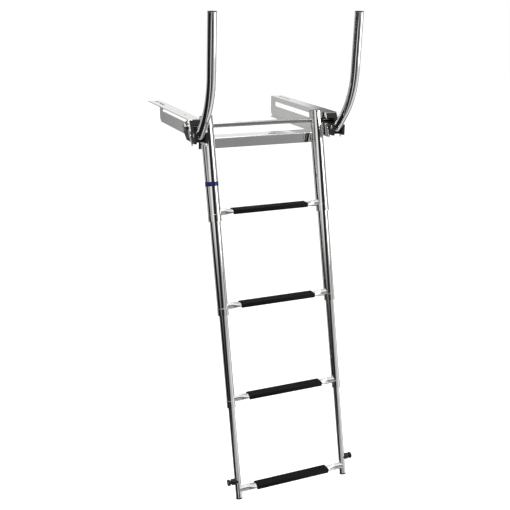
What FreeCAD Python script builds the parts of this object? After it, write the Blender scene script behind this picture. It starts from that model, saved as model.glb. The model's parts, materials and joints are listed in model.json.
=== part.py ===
"""Under-platform telescoping boarding ladder with two folding hand rails.

Millimetres, +Z up, +X to the right of a person facing the boat, +Y towards the boat.
The origin lies midway between the two front mounting holes, on the flange tops that
meet the underside of the platform.  The ladder is deployed: swung down, drawn out.
"""
import FreeCAD, Part
import Sketcher
import math
import os

V = FreeCAD.Vector
doc = FreeCAD.newDocument("BoardingLadder")

# ---------------------------------------------------------------------------- sizes
SIZES = {
    # mounting rails, folded from sheet
    "rail_length": 390.0,
    "rail_sheet": 2.5,
    "flange_width": 41.0,
    "web_height": 67.0,
    "web_corner": 20.0,
    "lip_width": 12.0,
    "hole_setback": 85.0,
    "hole_bore": 8.5,
    "rail_slot_setback": 328.0,
    "rail_slot_length": 84.0,
    "rail_slot_bore": 8.5,
    # front bracket formed by the rail's ends
    "ear_reach": 34.0,
    "ear_drop": 70.0,
    "ear_toe": 4.0,
    "ear_heel": 30.0,
    "ear_corner": 2.5,
    "cheek_strip": 16.0,
    "cheek_shoulder": 48.0,
    "cheek_tip": 6.0,
    # nylon guides between web and cheek
    "guide_inset": 1.0,
    "guide_depth": 52.0,
    "guide_toe": 23.0,
    "guide_shoulder": 38.0,
    "guide_floor": 61.0,
    "guide_top_depth": 33.0,
    "guide_top_chamfer": 9.0,
    "guide_top_run": 21.0,
    "stop_wall": 10.0,
    "rivet_edge": 8.0,
    "rivet_drop": 14.0,
    # pivot rod and the channel it runs in
    "rod_bore": 14.0,
    "rod_setback": 18.7,
    "rod_drop": 23.2,
    "rod_fit": 0.3,
    "channel_end": 352.0,
    "nut_bore": 20.0,
    "nut_height": 8.0,
    "bush_bore": 24.0,
    "rivet_bore": 5.0,
    "rivet_head": 9.0,
    "rivet_head_height": 1.5,
    # ladder frame
    "stile_spacing": 350.0,
    "lean": 14.4,
    "tread_pitch": 274.5,
    "first_tread": 249.5,
    "tread_rise": 4.0,
    "stile_head": 26.0,
    "foot_drop": 24.5,
    "tube_one": 38.0,
    "tube_wall": 1.2,
    "bush_gap_one": 1.8,
    "bush_gap_two": 2.3,
    "bush_gap_three": 1.8,
    "slide_fit": 0.3,
    "web_gap": 2.0,
    "side_fit": 0.3,
    # collars, slide bushes and the rings that stop a section from dropping out
    "collar_length": 21.0,
    "collar_wall": 1.7,
    "ring_length": 12.0,
    "overlap_two": 10.0,
    "overlap_three": 36.0,
    "overlap_four": 36.0,
    # treads
    "tread_tube": 20.0,
    "tread_wall": 1.5,
    "tread_flat_width": 27.0,
    "tread_flat_height": 11.6,
    "tread_flat_length": 246.0,
    "tread_taper": 20.0,
    "pad_length": 240.0,
    "pad_depth": 30.0,
    "pad_top": 6.8,
    "pad_skirt": 6.2,
    "pad_hook": 3.5,
    "pad_hook_rise": 3.0,
    "pad_round": 2.0,
    "pad_rib": 2.0,
    "pad_groove": 0.6,
    "pad_rib_count": 6.0,
    "stack_gap": 1.5,
    # caps, band, feet and catch knobs
    "cap_height": 2.5,
    "plug_depth": 12.0,
    "band_drop": 160.0,
    "band_length": 13.0,
    "band_thickness": 0.4,
    "screw_drop": 152.0,
    "screw_head": 6.0,
    "screw_proud": 1.4,
    "foot_height": 4.0,
    "foot_lip": 0.5,
    "knob_rise": 26.0,
    "knob_bore": 19.0,
    "knob_neck": 11.0,
    "knob_base_length": 10.5,
    "knob_neck_length": 5.0,
    "knob_head_length": 7.5,
    "knob_screw": 5.0,
    "knob_screw_reach": 3.0,
    "knob_screw_rest": 0.4,
    "knob_screw_head": 9.0,
    "knob_screw_sink": 2.0,
    # cross brace
    "brace_sheet": 2.0,
    "brace_depth": 55.0,
    "brace_drop": 30.0,
    "lip_start": 4.0,
    "brace_gap": 0.5,
    "brace_bend": 3.0,
    "brace_bolt": 6.0,
    "brace_bolt_first": 14.0,
    "brace_bolt_pitch": 28.0,
    "bolt_head_bore": 10.8,
    "bolt_head_height": 3.0,
    "bolt_nut_bore": 10.2,
    "bolt_nut_height": 4.8,
    "plate_width": 26.0,
    "plate_depth": 13.0,
    "plate_offset": 46.0,
    "plate_sheet": 0.6,
    "plate_setback": 22.0,
    # hand rails
    "grip_bore": 25.0,
    "grip_lower_lean": 40.0,
    "grip_upper_lean": 2.0,
    "grip_lower_run": 57.0,
    "grip_bend": 217.0,
    "grip_upper_run": 158.0,
    "pin_ahead": 42.0,
    "pin_drop": 38.0,
    "pin_bore": 8.0,
    "pin_fit": 0.05,
    "pin_head": 13.0,
    "pin_head_height": 2.2,
    "pin_side_fit": 0.2,
    "foot_neck": 5.0,
    "slot_clearance": 1.0,
    "foot_side_fit": 0.5,
    "nose_reach": 9.0,
}

sheet = doc.addObject("Spreadsheet::Sheet", "Sizes")
for row, (name, number) in enumerate(SIZES.items(), start=1):
    sheet.set(f"A{row}", name)
    sheet.set(f"B{row}", str(number))
    sheet.setAlias(f"B{row}", name)
doc.recompute()


class Size:
    """A length or angle that knows its number and the expression that gives it."""

    def __init__(self, text, number):
        self.text = text
        self.number = number

    def __add__(self, other):
        other = as_size(other)
        return Size(f"({self.text} + {other.text})", self.number + other.number)

    def __sub__(self, other):
        other = as_size(other)
        return Size(f"({self.text} - {other.text})", self.number - other.number)

    def __mul__(self, other):
        other = as_size(other)
        return Size(f"({self.text} * {other.text})", self.number * other.number)

    def __truediv__(self, other):
        other = as_size(other)
        return Size(f"({self.text} / {other.text})", self.number / other.number)

    def __radd__(self, other):
        return as_size(other) + self

    def __rsub__(self, other):
        return as_size(other) - self

    def __rmul__(self, other):
        return as_size(other) * self

    def __neg__(self):
        return Size(f"(0 - {self.text})", -self.number)


def as_size(value):
    if isinstance(value, Size):
        return value
    return Size(repr(float(value)), float(value))


def sine(angle):
    return Size(f"sin({angle.text})", math.sin(math.radians(angle.number)))


def cosine(angle):
    return Size(f"cos({angle.text})", math.cos(math.radians(angle.number)))


def tangent(angle):
    return Size(f"tan({angle.text})", math.tan(math.radians(angle.number)))


class Cells:
    """The sheet's cells as Size values, one attribute per alias."""

    def __init__(self):
        for alias in SIZES:
            setattr(self, alias, Size(f"Sizes.{alias}", float(sheet.get(alias))))


s = Cells()
parts = {}


# ------------------------------------------------------------------- modelling helpers
def bind(thing, prop, value):
    """Bind a property to the sheet."""
    value = as_size(value)
    thing.setExpression(prop, value.text)


def place(thing, x=0.0, y=0.0, z=0.0, tilt=None):
    """Set a sub-part's place, and its turn about the X axis when it leans."""
    turn = FreeCAD.Rotation(V(1, 0, 0), tilt.number if tilt else 0.0)
    numbers = [as_size(value).number for value in (x, y, z)]
    thing.Placement = FreeCAD.Placement(V(*numbers), turn)
    for axis, value in zip("xyz", (x, y, z)):
        bind(thing, f"Placement.Base.{axis}", value)
    if tilt:
        bind(thing, "Placement.Rotation.Angle", tilt)
    return thing


def part(name, thing):
    """Register a finished sub-part under its node name."""
    thing.Label = name
    parts[name] = thing
    return thing


def box(name, low, high):
    """A block between two corners."""
    block = doc.addObject("Part::Box", name)
    for prop, a, b in zip(("Length", "Width", "Height"), low, high):
        bind(block, prop, as_size(b) - as_size(a))
    return place(block, *low)


AXIS_TURNS = {
    "x": FreeCAD.Rotation(V(0, 1, 0), 90),
    "y": FreeCAD.Rotation(V(1, 0, 0), -90),
    "z": FreeCAD.Rotation(),
}


def rod(name, diameter, length, start, axis="z"):
    """A solid cylinder that starts at a point and runs along +X, +Y or +Z."""
    bar = doc.addObject("Part::Cylinder", name)
    bind(bar, "Radius", diameter / 2)
    bind(bar, "Height", length)
    numbers = [as_size(value).number for value in start]
    bar.Placement = FreeCAD.Placement(V(*numbers), AXIS_TURNS[axis])
    for letter, value in zip("xyz", start):
        bind(bar, f"Placement.Base.{letter}", value)
    return bar


def cut(name, base, *tools):
    """Take tools away from a base, one after another."""
    for number, tool in enumerate(tools):
        step = doc.addObject("Part::Cut", f"{name}_cut{number}")
        step.Base = base
        step.Tool = tool
        base = step
    return base


def fuse(name, *pieces):
    """Join pieces into one solid."""
    whole = doc.addObject("Part::MultiFuse", name + "_fuse")
    whole.Shapes = list(pieces)
    whole.Refine = True
    return whole


def group(name, *pieces):
    """Keep separate solids together in one sub-part."""
    bundle = doc.addObject("Part::Compound", name + "_group")
    bundle.Links = list(pieces)
    return bundle


def tube(name, diameter, wall, low, high, x):
    """A hollow tube about a line parallel to Z, between two heights."""
    outer = rod(name + "_outer", diameter, high - low, (x, 0, low))
    inner = rod(name + "_inner", diameter - 2 * wall, high - low, (x, 0, low))
    return cut(name, outer, inner)


class Outline:
    """A sketch on one of a body's own origin planes, every point tied to the sheet."""

    def __init__(self, body, name, plane, offset=0.0):
        self.sketch = body.newObject("Sketcher::SketchObject", name)
        planes = [f for f in body.Origin.OriginFeatures if f.Role == plane]
        self.sketch.AttachmentSupport = [(planes[0], "")]
        self.sketch.MapMode = "FlatFace"
        bind(self.sketch, "AttachmentOffset.Base.z", offset)

    def fix(self, geometry, point, across, up):
        """Tie a point to the sketch's origin."""
        for kind, value in (("DistanceX", across), ("DistanceY", up)):
            value = as_size(value)
            row = Sketcher.Constraint(kind, -1, 1, geometry, point, value.number)
            number = self.sketch.addConstraint(row)
            bind(self.sketch, f"Constraints[{number}]", value)

    def polygon(self, points):
        """Straight edges through the points, closed."""
        corners = [V(as_size(a).number, as_size(b).number, 0) for a, b in points]
        lines = []
        for start, end in zip(corners, corners[1:] + corners[:1]):
            lines.append(self.sketch.addGeometry(Part.LineSegment(start, end)))
        for here, there in zip(lines, lines[1:] + lines[:1]):
            self.sketch.addConstraint(Sketcher.Constraint("Coincident", here, 2, there, 1))
        for line, (across, up) in zip(lines, points):
            self.fix(line, 1, across, up)
        return self

    def circle(self, across, up, diameter):
        centre = V(as_size(across).number, as_size(up).number, 0)
        ring = Part.Circle(centre, V(0, 0, 1), as_size(diameter).number / 2)
        number = self.sketch.addGeometry(ring)
        self.fix(number, 3, across, up)
        row = Sketcher.Constraint("Diameter", number, as_size(diameter).number)
        bind(self.sketch, f"Constraints[{self.sketch.addConstraint(row)}]", diameter)
        return self

    def slot(self, start, end, centre, width, upright=False):
        """A round-ended slot between two end centres, level or upright in its plane."""
        half = width / 2
        low, high, middle = (as_size(value) for value in (start, end, centre))
        ends = [(low, middle - half), (high, middle - half),
                (high, middle + half), (low, middle + half)]
        turn = 0.0
        if upright:
            ends = [(middle + half, low), (middle + half, high),
                    (middle - half, high), (middle - half, low)]
            turn = math.pi / 2
        spots = [V(a.number, b.number, 0) for a, b in ends]
        first = self.sketch.addGeometry(Part.LineSegment(spots[0], spots[1]))
        second = self.sketch.addGeometry(Part.LineSegment(spots[2], spots[3]))
        for line, corner in ((first, 0), (second, 2)):
            self.fix(line, 1, *ends[corner])
            self.fix(line, 2, *ends[corner + 1])
        for near, far, place_along, angle in ((first, second, high, turn - math.pi / 2),
                                              (second, first, low, turn + math.pi / 2)):
            spot = [place_along.number, middle.number]
            if upright:
                spot.reverse()
            ring = Part.Circle(V(*spot, 0), V(0, 0, 1), half.number)
            arc = self.sketch.addGeometry(Part.ArcOfCircle(ring, angle, angle + math.pi))
            self.sketch.addConstraint(Sketcher.Constraint("Coincident", arc, 1, near, 2))
            self.sketch.addConstraint(Sketcher.Constraint("Coincident", arc, 2, far, 1))
            kind = "DistanceY" if upright else "DistanceX"
            row = Sketcher.Constraint(kind, -1, 1, arc, 3, place_along.number)
            number = self.sketch.addConstraint(row)
            bind(self.sketch, f"Constraints[{number}]", place_along)
        return self


def pad(body, outline, length, reverse=False):
    """Thicken an outline along its plane's normal."""
    step = body.newObject("PartDesign::Pad", outline.sketch.Name + "_pad")
    step.Profile = outline.sketch
    bind(step, "Length", length)
    step.Reversed = reverse
    outline.sketch.Visibility = False
    return step


def pocket(body, outline, length):
    """Cut an outline both ways through the material near its plane."""
    step = body.newObject("PartDesign::Pocket", outline.sketch.Name + "_pocket")
    step.Profile = outline.sketch
    step.SideType = "Symmetric"
    bind(step, "Length", length)
    before = body.Shape.Volume if not body.Shape.isNull() else 0.0
    doc.recompute()
    if step.Shape.Volume > before - 0.1:
        raise ValueError(outline.sketch.Name + " cuts nothing")
    return step


def edges_near(shape, spots, reach=0.05):
    """Names of the edges whose middles lie at the given spots."""
    names = []
    for number, edge in enumerate(shape.Edges, start=1):
        middle = edge.CenterOfMass
        if any((middle - spot).Length < reach for spot in spots):
            names.append(f"Edge{number}")
    if len(names) != len(spots):
        raise ValueError(f"{len(names)} edges found of {len(spots)}")
    return names


def fillet(body, base, spots, radius):
    """Round the edges whose middles lie at the given spots."""
    doc.recompute()
    step = body.newObject("PartDesign::Fillet", base.Name + "_fillet")
    step.Base = (base, edges_near(base.Shape, spots))
    bind(step, "Radius", radius)
    return step


def new_body(name):
    return doc.addObject("PartDesign::Body", name + "_body")


# --------------------------------------------------------------------- shared geometry
SIDES = (("left", -1), ("right", 1))

front = -s.hole_setback
rear = front + s.rail_length
rod_y = front + s.rod_setback
rod_z = -s.rod_drop
stile_x = s.stile_spacing / 2
web_in = stile_x + s.tube_one / 2 + s.web_gap
web_out = web_in + s.rail_sheet
cheek_out = web_in + s.flange_width
cheek_in = cheek_out - s.rail_sheet
bay_middle = (web_out + cheek_in) / 2
flange_middle = (web_in + cheek_out) / 2
channel = s.rod_bore + 2 * s.rod_fit
channel_top = rod_z + channel / 2
channel_floor = rod_z - channel / 2
pin_y = front - s.pin_ahead
pin_z = -s.pin_drop

brace_floor = s.rail_sheet - s.web_height
brace_top = brace_floor + s.brace_sheet
brace_y = (rod_y - tangent(s.lean) * (rod_z - brace_top)
           + s.tube_one / 2 / cosine(s.lean) + s.brace_gap)
brace_bolts = [brace_y + s.brace_bolt_first + number * s.brace_bolt_pitch for number in (0, 1)]
brace_bolt_x = web_in - s.lip_width / 2

seams = [s.first_tread + s.tread_rise + number * s.tread_pitch for number in range(4)]
tubes = [s.tube_one]
for bush_gap in (s.bush_gap_one, s.bush_gap_two, s.bush_gap_three):
    tubes.append(tubes[-1] - 2 * s.tube_wall - 2 * bush_gap)
overlaps = [None, s.overlap_two, s.overlap_three, s.overlap_four]
foot = seams[3] - s.tread_rise + s.foot_drop


def span(side, near, far):
    """The X range of a piece between two distances from the middle, on one side."""
    return (near, far) if side > 0 else (-far, -near)


def mirrored(side, x):
    return x if side > 0 else -x


def edge_at(z):
    """Y of the bracket's leaning front edge at a height."""
    return front + s.ear_reach * z / s.ear_drop


def corner(x, y, z):
    """A point in the model, from sizes."""
    return V(x.number, y.number, z.number)


# ------------------------------------------------------------------------------- rails
def make_rail(word, side):
    """One sheet: flange, web with its front ear, inner lip and outer cheek."""
    name = word + "_rail"
    body = new_body(name)
    tip = (front - s.ear_reach, -s.ear_drop)
    low, high = span(side, web_in, web_out)
    web = Outline(body, name + "_web", "YZ_Plane", low).polygon([
        (front, 0), tip, (front + s.ear_toe, -s.ear_drop),
        (front + s.ear_heel, -s.web_height), (rear, -s.web_height), (rear, 0)])
    plate = pad(body, web, s.rail_sheet)
    web_x = mirrored(side, (web_in + web_out) / 2)
    fillet(body, plate, [corner(web_x, rear, -s.web_height)], s.web_corner)

    low, high = span(side, web_in, cheek_out)
    flange = Outline(body, name + "_flange", "XY_Plane", -s.rail_sheet).polygon([
        (low, front), (high, front), (high, rear), (low, rear)])
    pad(body, flange, s.rail_sheet)

    low, high = span(side, web_in - s.lip_width, web_out)
    lip_start = brace_y + s.lip_start
    lip_end = rear - s.web_corner
    lip = Outline(body, name + "_lip", "XY_Plane", -s.web_height).polygon([
        (low, lip_start), (high, lip_start), (high, lip_end), (low, lip_end)])
    pad(body, lip, s.rail_sheet)

    low, high = span(side, cheek_in, cheek_out)
    shoulder = edge_at(-s.cheek_shoulder) + s.cheek_strip
    cheek = Outline(body, name + "_cheek", "YZ_Plane", low).polygon([
        (front, 0), tip, (tip[0] + s.cheek_tip, -s.ear_drop),
        (shoulder, -s.cheek_shoulder), (front + s.cheek_strip, 0)])
    strip = pad(body, cheek, s.rail_sheet)
    cheek_x = mirrored(side, (cheek_in + cheek_out) / 2)
    tips = [corner(x, tip[0], tip[1]) for x in (web_x, cheek_x)]
    fillet(body, strip, tips, s.ear_corner)
    doc.recompute()

    channel_in_web = Outline(body, name + "_web_channel", "YZ_Plane", web_x).slot(
        front - s.ear_reach - channel, front + s.channel_end, rod_z, channel)
    pocket(body, channel_in_web, 2 * s.rail_sheet)
    hole_x = mirrored(side, flange_middle)
    hole = Outline(body, name + "_front_hole", "XY_Plane").circle(hole_x, 0, s.hole_bore)
    pocket(body, hole, 4 * s.rail_sheet)
    half = (s.rail_slot_length - s.rail_slot_bore) / 2
    slot_y = front + s.rail_slot_setback
    slot = Outline(body, name + "_rear_slot", "XY_Plane").slot(
        slot_y - half, slot_y + half, hole_x, s.rail_slot_bore, upright=True)
    pocket(body, slot, 4 * s.rail_sheet)
    for number, y in enumerate(brace_bolts):
        bolt = Outline(body, f"{name}_bolt_hole{number}", "XY_Plane", -s.web_height)
        bolt.circle(mirrored(side, brace_bolt_x), y, s.brace_bolt)
        pocket(body, bolt, 4 * s.rail_sheet)
    for number, (y, z) in enumerate(guide_rivets()):
        for wall, x in (("web", web_x), ("cheek", cheek_x)):
            rivet = Outline(body, f"{name}_{wall}_rivet_hole{number}", "YZ_Plane", x)
            rivet.circle(y, z, s.rivet_bore)
            pocket(body, rivet, 2 * s.rail_sheet)
    return part(name, body)


def guide_rivets():
    """Y and Z of the rivets that hold the upper and the lower guide."""
    heights = [(channel_top - s.rail_sheet) / 2, channel_floor - s.rivet_drop]
    return [(edge_at(z) + s.rivet_edge, z) for z in heights]


# ------------------------------------------------------------------ nylon channel guides
def rivet_bore(body, name, side, number):
    y, z = guide_rivets()[number]
    middle = mirrored(side, bay_middle)
    hole = Outline(body, name + "_rivet_bore", "YZ_Plane", middle).circle(y, z, s.rivet_bore)
    pocket(body, hole, 2 * s.flange_width)


def make_upper_guide(word, side):
    """A block between web and cheek, above the rod's channel."""
    name = word + "_upper_guide"
    body = new_body(name)
    low, high = span(side, web_out, cheek_in)
    top = -s.rail_sheet
    back = front + s.guide_top_depth
    outline = Outline(body, name + "_block", "YZ_Plane", low).polygon([
        (edge_at(channel_top) + s.guide_inset, channel_top),
        (edge_at(top) + s.guide_inset, top),
        (back - s.guide_top_run, top), (back, top - s.guide_top_chamfer),
        (back, channel_top)])
    pad(body, outline, high - low)
    doc.recompute()
    rivet_bore(body, name, side, 0)
    part(name, body)


def make_lower_guide(word, side):
    """A block under the channel, with ears in front that hold the hand rail's pin."""
    name = word + "_lower_guide"
    body = new_body(name)
    nose = pin_y - s.nose_reach
    slot_floor = -s.guide_floor - s.slot_clearance
    low, high = span(side, web_out, cheek_in)
    block = Outline(body, name + "_block", "YZ_Plane", low).polygon([
        (nose, channel_floor), (nose, -s.guide_floor), (front + s.guide_toe, -s.guide_floor),
        (front + s.guide_depth, -s.guide_shoulder), (front + s.guide_depth, channel_floor)])
    pad(body, block, high - low)

    low, high = span(side, web_in, cheek_out)
    wide = Outline(body, name + "_nose", "YZ_Plane", low).polygon([
        (nose, channel_floor), (nose, -s.guide_floor),
        (edge_at(-s.guide_floor) - s.side_fit, -s.guide_floor),
        (edge_at(channel_floor) - s.side_fit, channel_floor)])
    pad(body, wide, high - low)

    low, high = span(side, cheek_in - s.stop_wall, cheek_in)
    stop = rod_y - channel / 2
    wall = Outline(body, name + "_stop_wall", "YZ_Plane", low).polygon([
        (edge_at(channel_floor) + s.guide_inset, channel_floor), (stop, channel_floor),
        (stop, channel_top), (edge_at(channel_top) + s.guide_inset, channel_top)])
    pad(body, wall, high - low)
    doc.recompute()

    middle = mirrored(side, bay_middle)
    half = s.grip_bore / 2 + s.foot_side_fit
    ahead = nose - s.nose_reach
    back = pin_y + s.grip_bore / 2 + s.slot_clearance
    slot = Outline(body, name + "_foot_slot", "XY_Plane", channel_floor).polygon([
        (middle - half, ahead), (middle + half, ahead), (middle + half, back),
        (middle - half, back)])
    pocket(body, slot, 2 * (channel_floor - slot_floor))
    bore = Outline(body, name + "_pin_bore", "YZ_Plane", middle)
    bore.circle(pin_y, pin_z, s.pin_bore + 2 * s.pin_fit)
    pocket(body, bore, 2 * s.flange_width)
    for wall, x in (("inner", web_in), ("outer", cheek_out)):
        sink = Outline(body, f"{name}_{wall}_pin_sink", "YZ_Plane", mirrored(side, x))
        sink.circle(pin_y, pin_z, s.pin_head + 2 * s.side_fit)
        pocket(body, sink, 2 * s.rail_sheet)
    rivet_bore(body, name, side, 1)
    part(name, body)


def make_guide_rivets():
    rivets = []
    for word, side in SIDES:
        for number, (y, z) in enumerate(guide_rivets()):
            low, high = span(side, web_in, cheek_out)
            shank = rod(f"{word}_rivet{number}", s.rivet_bore, high - low, (low, y, z), "x")
            low, high = span(side, cheek_out, cheek_out + s.rivet_head_height)
            head = rod(f"{word}_rivet_head{number}", s.rivet_head, high - low, (low, y, z), "x")
            rivets.append(fuse(f"{word}_rivet{number}", shank, head))
    part("guide_rivets", group("guide_rivets", *rivets))


# ------------------------------------------------------------------------- cross brace
def make_brace():
    """An angle of sheet on the rails' lips; the ladder leans on its bend."""
    body = new_body("cross_brace")
    end = web_in - s.brace_gap
    back = brace_y + s.brace_depth
    foot_z = brace_top - s.brace_drop
    angle = Outline(body, "brace_angle", "YZ_Plane", -end).polygon([
        (brace_y, foot_z), (brace_y + s.brace_sheet, foot_z), (brace_y + s.brace_sheet, brace_floor),
        (back, brace_floor), (back, brace_top), (brace_y, brace_top)])
    bar = pad(body, angle, 2 * end)
    fillet(body, bar, [V(0, brace_y.number, brace_top.number)], s.brace_bend)
    doc.recompute()
    for number, y in enumerate(brace_bolts):
        for word, side in SIDES:
            hole = Outline(body, f"brace_{word}_hole{number}", "XY_Plane", brace_floor)
            hole.circle(mirrored(side, brace_bolt_x), y, s.brace_bolt)
            pocket(body, hole, 4 * s.brace_sheet)
    part("cross_brace", body)

    bolts = []
    for word, side in SIDES:
        x = mirrored(side, brace_bolt_x)
        for number, y in enumerate(brace_bolts):
            name = f"brace_{word}_bolt{number}"
            under = -s.web_height
            shank = rod(name, s.brace_bolt, brace_top - under, (x, y, under))
            head = rod(name + "_head", s.bolt_head_bore, s.bolt_head_height, (x, y, brace_top))
            nut = rod(name + "_nut", s.bolt_nut_bore, s.bolt_nut_height,
                      (x, y, under - s.bolt_nut_height))
            bolts.append(fuse(name, shank, head, nut))
    part("brace_bolts", group("brace_bolts", *bolts))

    oval = doc.addObject("Part::Ellipse", "oval_edge")
    bind(oval, "MajorRadius", s.plate_width / 2)
    bind(oval, "MinorRadius", s.plate_depth / 2)
    plate = doc.addObject("Part::Extrusion", "oval_plate_sheet")
    plate.Base = oval
    plate.DirMode = "Custom"
    plate.Dir = V(0, 0, 1)
    plate.Solid = True
    bind(plate, "LengthFwd", s.plate_sheet)
    place(plate, s.plate_offset, brace_y + s.plate_setback, brace_top)
    part("blank_oval_plate", plate)


# ---------------------------------------------------------------------- ladder sections
def on_ladder(name, thing):
    """Turn a piece made about a vertical stile into the leaning ladder."""
    return part(name, place(thing, 0, rod_y, rod_z, -s.lean))


def ring_bore(level):
    """Inside of the tube that section `level` slides in."""
    return tubes[level - 1] - 2 * s.tube_wall


def head_of(level):
    """How far below the rod a section's tubes begin."""
    if level == 0:
        return -s.stile_head
    return seams[level - 1] - overlaps[level]


def make_stile(level, word, side):
    """One tube of a section, with its cross holes."""
    name = f"{word}_stile_{level + 1}"
    x = mirrored(side, stile_x)
    low = -foot if level == 3 else -seams[level]
    pipe = tube(name, tubes[level], s.tube_wall, low, -head_of(level), x)
    if level == 0:
        hole = rod(name + "_rod_hole", s.rod_bore, 2 * cheek_out, (-cheek_out, 0, 0), "x")
        pipe = cut(name + "_holed", pipe, hole, stop_screw(word, side, "_bore"))
    if level == 3:
        hole = knob_cylinder(word, side, "_stile_hole", s.knob_screw,
                             -s.knob_screw_reach, s.knob_screw_reach)
        pipe = cut(name + "_holed", pipe, hole)
    on_ladder(name, pipe)


def stop_screw(word, side, ending=""):
    """A flat screw head let into the inboard wall of the top stile."""
    wall = stile_x - s.tube_one / 2
    low, high = span(side, wall - s.screw_proud, wall + s.tube_wall)
    return rod(f"{word}_stop_screw{ending}", s.screw_head, high - low,
               (low, 0, -s.screw_drop), "x")


def make_collars(level):
    """Steel collars below a section's tubes, and the nylon bushes inside them."""
    collars = []
    bushes = []
    bore = tubes[level] - 2 * s.tube_wall
    top = -seams[level]
    low = top - s.collar_length
    bush_top = -(head_of(level + 1) + s.ring_length + s.slide_fit)
    for word, side in SIDES:
        x = mirrored(side, stile_x)
        name = f"{word}_collar_{level + 1}"
        collars.append(tube(name, bore + 2 * s.collar_wall, s.collar_wall, low, top, x))
        wall = (bore - tubes[level + 1]) / 2 - s.slide_fit
        bushes.append(tube(name + "_bush", bore, wall, low, bush_top, x))
    on_ladder(f"collars_{level + 1}", group(f"collars_{level + 1}", *collars))
    on_ladder(f"slide_bushes_{level + 1}", group(f"slide_bushes_{level + 1}", *bushes))


def make_stop_rings(level):
    """Rings on a section's upper ends that catch on the bushes above."""
    rings = []
    outer = ring_bore(level) - 2 * s.slide_fit
    wall = (outer - tubes[level]) / 2
    top = -head_of(level)
    for word, side in SIDES:
        x = mirrored(side, stile_x)
        rings.append(tube(f"{word}_ring_{level + 1}", outer, wall, top - s.ring_length, top, x))
    on_ladder(f"stop_rings_{level + 1}", group(f"stop_rings_{level + 1}", *rings))


# ------------------------------------------------------------------------------- treads
def tread_origin(level):
    """Y and Z of a tread's axis."""
    drop = s.first_tread + level * s.tread_pitch
    return rod_y - sine(s.lean) * drop, rod_z - cosine(s.lean) * drop


def tread_loft(name, less):
    """Round at the stiles and flattened under the pad, `less` smaller all round."""
    flat = s.tread_flat_length / 2
    stations = [(flat + s.tread_taper, s.tread_tube, s.tread_tube),
                (flat, s.tread_flat_width, s.tread_flat_height)]
    outside = [(stile_x, s.tread_tube, s.tread_tube)]
    left = [(-x, wide, high) for x, wide, high in outside + stations]
    sections = []
    for number, (x, wide, high) in enumerate(left + (outside + stations)[::-1]):
        ring = doc.addObject("Part::Ellipse", f"{name}_section{number}")
        bind(ring, "MajorRadius", wide / 2 - less)
        bind(ring, "MinorRadius", high / 2 - less)
        ring.Placement = FreeCAD.Placement(V(x.number, 0, 0), FreeCAD.Rotation(V(1, 1, 1), 120))
        bind(ring, "Placement.Base.x", x)
        sections.append(ring)
    loft = doc.addObject("Part::Loft", name + "_loft")
    loft.Sections = sections
    loft.Solid = True
    loft.Ruled = True
    return loft


def make_tread(level):
    """A cross tube fitted to the stiles, and its ribbed pad."""
    number = level + 1
    y, z = tread_origin(level)
    name = f"tread_{number}"
    outer = tread_loft(name + "_outer", as_size(0))
    inner = tread_loft(name + "_inner", s.tread_wall)
    saddles = []
    for word, side in SIDES:
        reach = 2 * s.tread_tube
        widths = [tubes[level]]
        if level < 3:
            widths.append(tubes[level] - 2 * s.tube_wall + 2 * s.collar_wall)
        for step, width in enumerate(widths):
            saddle = doc.addObject("Part::Cylinder", f"{name}_{word}_saddle{step}")
            bind(saddle, "Radius", width / 2)
            bind(saddle, "Height", reach if step else 2 * reach)
            start = -(reach + s.tread_rise) if step else -reach
            place(saddle, mirrored(side, stile_x), sine(s.lean) * start,
                  cosine(s.lean) * start, -s.lean)
            saddles.append(saddle)
    bar = cut(name, outer, inner, *saddles)
    part(name, place(bar, 0, y, z))
    make_pad(name + "_pad", y, z)


def make_pad(name, y, z):
    """A moulded cover clipped over the flattened length, ribbed along its top."""
    body = new_body(name)
    half = s.pad_depth / 2
    top = s.pad_top
    points = [(-half, -s.pad_skirt), (half, -s.pad_skirt), (half, top - s.pad_round),
              (half - s.pad_round, top)]
    ribs = int(SIZES["pad_rib_count"])
    for rib in range(ribs, 0, -1):
        edge = (rib - s.pad_rib_count / 2) * 2 * s.pad_rib - s.pad_rib / 2
        points += [(edge, top), (edge - s.pad_rib / 4, top - s.pad_groove),
                   (edge - s.pad_rib * 3 / 4, top - s.pad_groove), (edge - s.pad_rib, top)]
    points += [(s.pad_round - half, top), (-half, top - s.pad_round)]
    profile = Outline(body, name + "_profile", "YZ_Plane", -s.pad_length / 2).polygon(points)
    pad(body, profile, s.pad_length)
    tread = tread_loft(name + "_hollow", as_size(0))
    inside = half - s.pad_hook
    mouth = box(name + "_mouth", (-s.pad_length, -inside, -2 * s.pad_skirt),
                (s.pad_length, inside, -s.pad_hook_rise))
    part(name, place(cut(name, body, tread, mouth), 0, y, z))


# ------------------------------------------------------------------------ small fittings
def knob_cylinder(word, side, ending, diameter, start, end):
    """A cylinder across the bottom stile at the catch knob's height."""
    face = stile_x + tubes[3] / 2
    low, high = span(side, face + start, face + end)
    drop = s.first_tread + 3 * s.tread_pitch - s.knob_rise
    return rod(f"{word}_knob{ending}", diameter, high - low, (low, 0, -drop), "x")


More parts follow.
